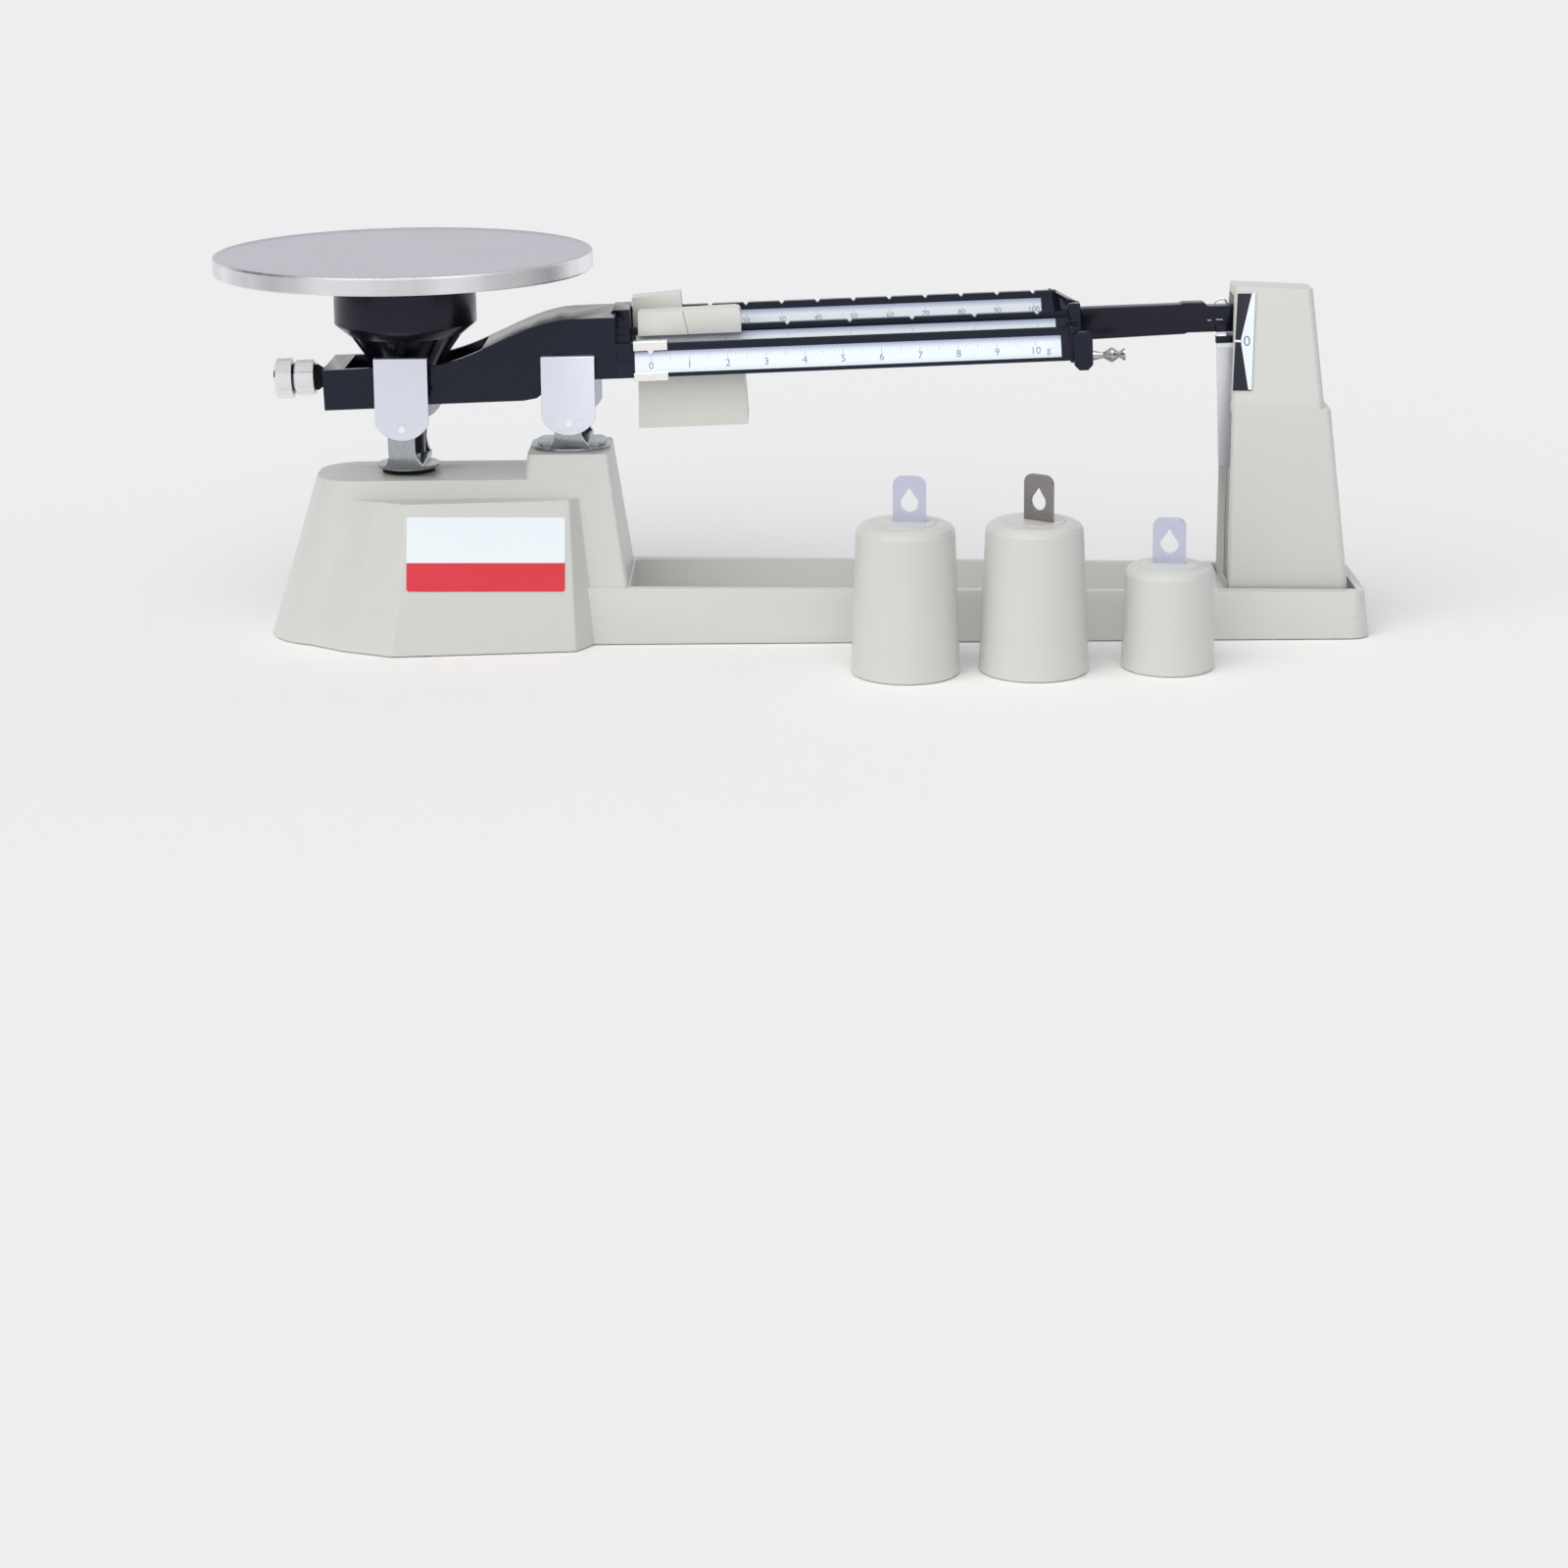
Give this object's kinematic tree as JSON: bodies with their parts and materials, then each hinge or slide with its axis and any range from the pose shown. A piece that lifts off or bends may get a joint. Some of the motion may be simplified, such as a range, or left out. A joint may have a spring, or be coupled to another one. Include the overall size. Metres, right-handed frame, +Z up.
{
  "type": "triple beam balance",
  "caption": "Triple beam balance with a round pan, notched poise bars, a damped pointer in a tower, and hanging attachment weights on the table.",
  "frame": {"origin": "on the table surface, straight below the fulcrum knife edge", "axes": "+Z up, +X from the pan towards the pointer tower, the scales face -Y"},
  "size_m": [0.4649, 0.1737, 0.1563],
  "materials": {
    "casting_paint": "satin",
    "beam_paint": "semi-gloss",
    "poise_paint": "satin",
    "black_moulding": "satin",
    "black_bar": "gloss",
    "scale_print": "satin",
    "panel_print": "satin",
    "tray_metal": "brushed",
    "cover_sheet": "satin",
    "zinc_sheet": "satin",
    "bright_steel": "polished",
    "hard_steel": "ground",
    "weight_paint": "satin",
    "magnet": "satin",
    "vane_sheet": "satin",
    "rubber": "matte",
    "lead": "rough",
    "screw_steel": "satin"
  },
  "bodies": {
    "base": {"base_casting": "casting_paint", "tower": "casting_paint", "rubber_feet": "rubber", "dust_ring": "rubber", "name_panel": "panel_print", "dial_plate": "scale_print", "tower_screws": "screw_steel", "magnet_holder": "zinc_sheet", "damper_magnets": "magnet", "fulcrum_yoke": "bright_steel", "fulcrum_bearings": "hard_steel", "fulcrum_cover_front": "cover_sheet", "fulcrum_cover_rear": "cover_sheet", "fulcrum_cover_pins": "bright_steel", "fulcrum_screws": "screw_steel", "link_bracket": "zinc_sheet", "link_axle": "screw_steel"},
    "beam": {"beam_casting": "beam_paint", "fulcrum_knives": "hard_steel", "pan_knives": "hard_steel", "zero_stud": "screw_steel", "friction_cone": "rubber", "front_bar": "black_bar", "middle_bar": "black_bar", "rear_bar": "black_bar", "scale_strips": "scale_print", "end_frame": "beam_paint", "hanger_block": "beam_paint", "hanging_stud": "bright_steel", "pointer_arm": "black_moulding", "pointer": "black_moulding", "damper_vane": "vane_sheet", "wire_loop": "bright_steel"},
    "pan_hanger": {"hanger_yoke": "bright_steel", "hanger_bearings": "hard_steel", "hanger_cover_front": "cover_sheet", "hanger_cover_rear": "cover_sheet", "hanger_cover_pins": "bright_steel", "hanger_stem": "screw_steel", "stem_nut": "screw_steel", "link_pin": "screw_steel", "pan_support": "black_moulding", "tare_ballast": "lead"},
    "pan_tray": {"tray": "tray_metal", "tray_spigot": "tray_metal"},
    "link": {"check_link": "zinc_sheet"},
    "zero_nut": {"balance_nut": "bright_steel"},
    "zero_lock": {"lock_nut": "bright_steel"},
    "poise_front": {"front_poise": "bright_steel"},
    "poise_middle": {"middle_poise": "poise_paint"},
    "poise_rear": {"rear_poise": "poise_paint"},
    "weight_left_set": {"weight_left": "weight_paint", "weight_left_strap": "bright_steel", "weight_left_cap": "weight_paint"},
    "weight_centre_set": {"weight_centre": "weight_paint", "weight_centre_strap": "bright_steel", "weight_centre_cap": "weight_paint"},
    "weight_right_set": {"weight_right": "weight_paint", "weight_right_strap": "bright_steel", "weight_right_cap": "weight_paint"}
  },
  "joints": [
    {"name": "beam_tilt", "type": "hinge", "parent": "base", "child": "beam", "pos_m": [0, 0, 0.108], "axis": [0, -1, 0], "range_deg": [-2.5, 0.8]},
    {"name": "pan_hang", "type": "hinge", "parent": "beam", "child": "pan_hanger", "pos_m": [-0.06696, 0, 0.10584], "axis": [0, -1, 0], "range_deg": [-0.8, 2.5]},
    {"name": "link_swing", "type": "hinge", "parent": "base", "child": "link", "pos_m": [0, 0, 0.02], "axis": [0, -1, 0], "range_deg": [-2.5, 0.8]},
    {"name": "tray_lift", "type": "slide", "parent": "pan_hanger", "child": "pan_tray", "axis": [0, 0, 1], "range_m": [0, 0.05]},
    {"name": "zero_nut_turn", "type": "hinge", "parent": "beam", "child": "zero_nut", "pos_m": [-0.10735, 0, 0.10483], "axis": [0.9995, 0, 0.0323], "continuous": true},
    {"name": "zero_lock_turn", "type": "hinge", "parent": "beam", "child": "zero_lock", "pos_m": [-0.11575, 0, 0.10456], "axis": [0.9995, 0, 0.0323], "continuous": true},
    {"name": "front_poise_slide", "type": "slide", "parent": "beam", "child": "poise_front", "axis": [0.9995, 0, 0.0323], "range_m": [0, 0.1538]},
    {"name": "middle_poise_slide", "type": "slide", "parent": "beam", "child": "poise_middle", "axis": [0.9995, 0, 0.0323], "range_m": [0, 0.1263]},
    {"name": "rear_poise_slide", "type": "slide", "parent": "beam", "child": "poise_rear", "axis": [0.9995, 0, 0.0323], "range_m": [0, 0.1469]},
    {"name": "weight_left_lift", "type": "slide", "parent": "base", "child": "weight_left_set", "axis": [0, 0, 1], "range_m": [0, 0.08]},
    {"name": "weight_centre_lift", "type": "slide", "parent": "base", "child": "weight_centre_set", "axis": [0, 0, 1], "range_m": [0, 0.08]},
    {"name": "weight_right_lift", "type": "slide", "parent": "base", "child": "weight_right_set", "axis": [0, 0, 1], "range_m": [0, 0.08]}
  ],
  "couplings": [
    {"joint": "pan_hang", "follows": "beam_tilt", "ratio": -1},
    {"joint": "link_swing", "follows": "beam_tilt", "ratio": 1}
  ]
}
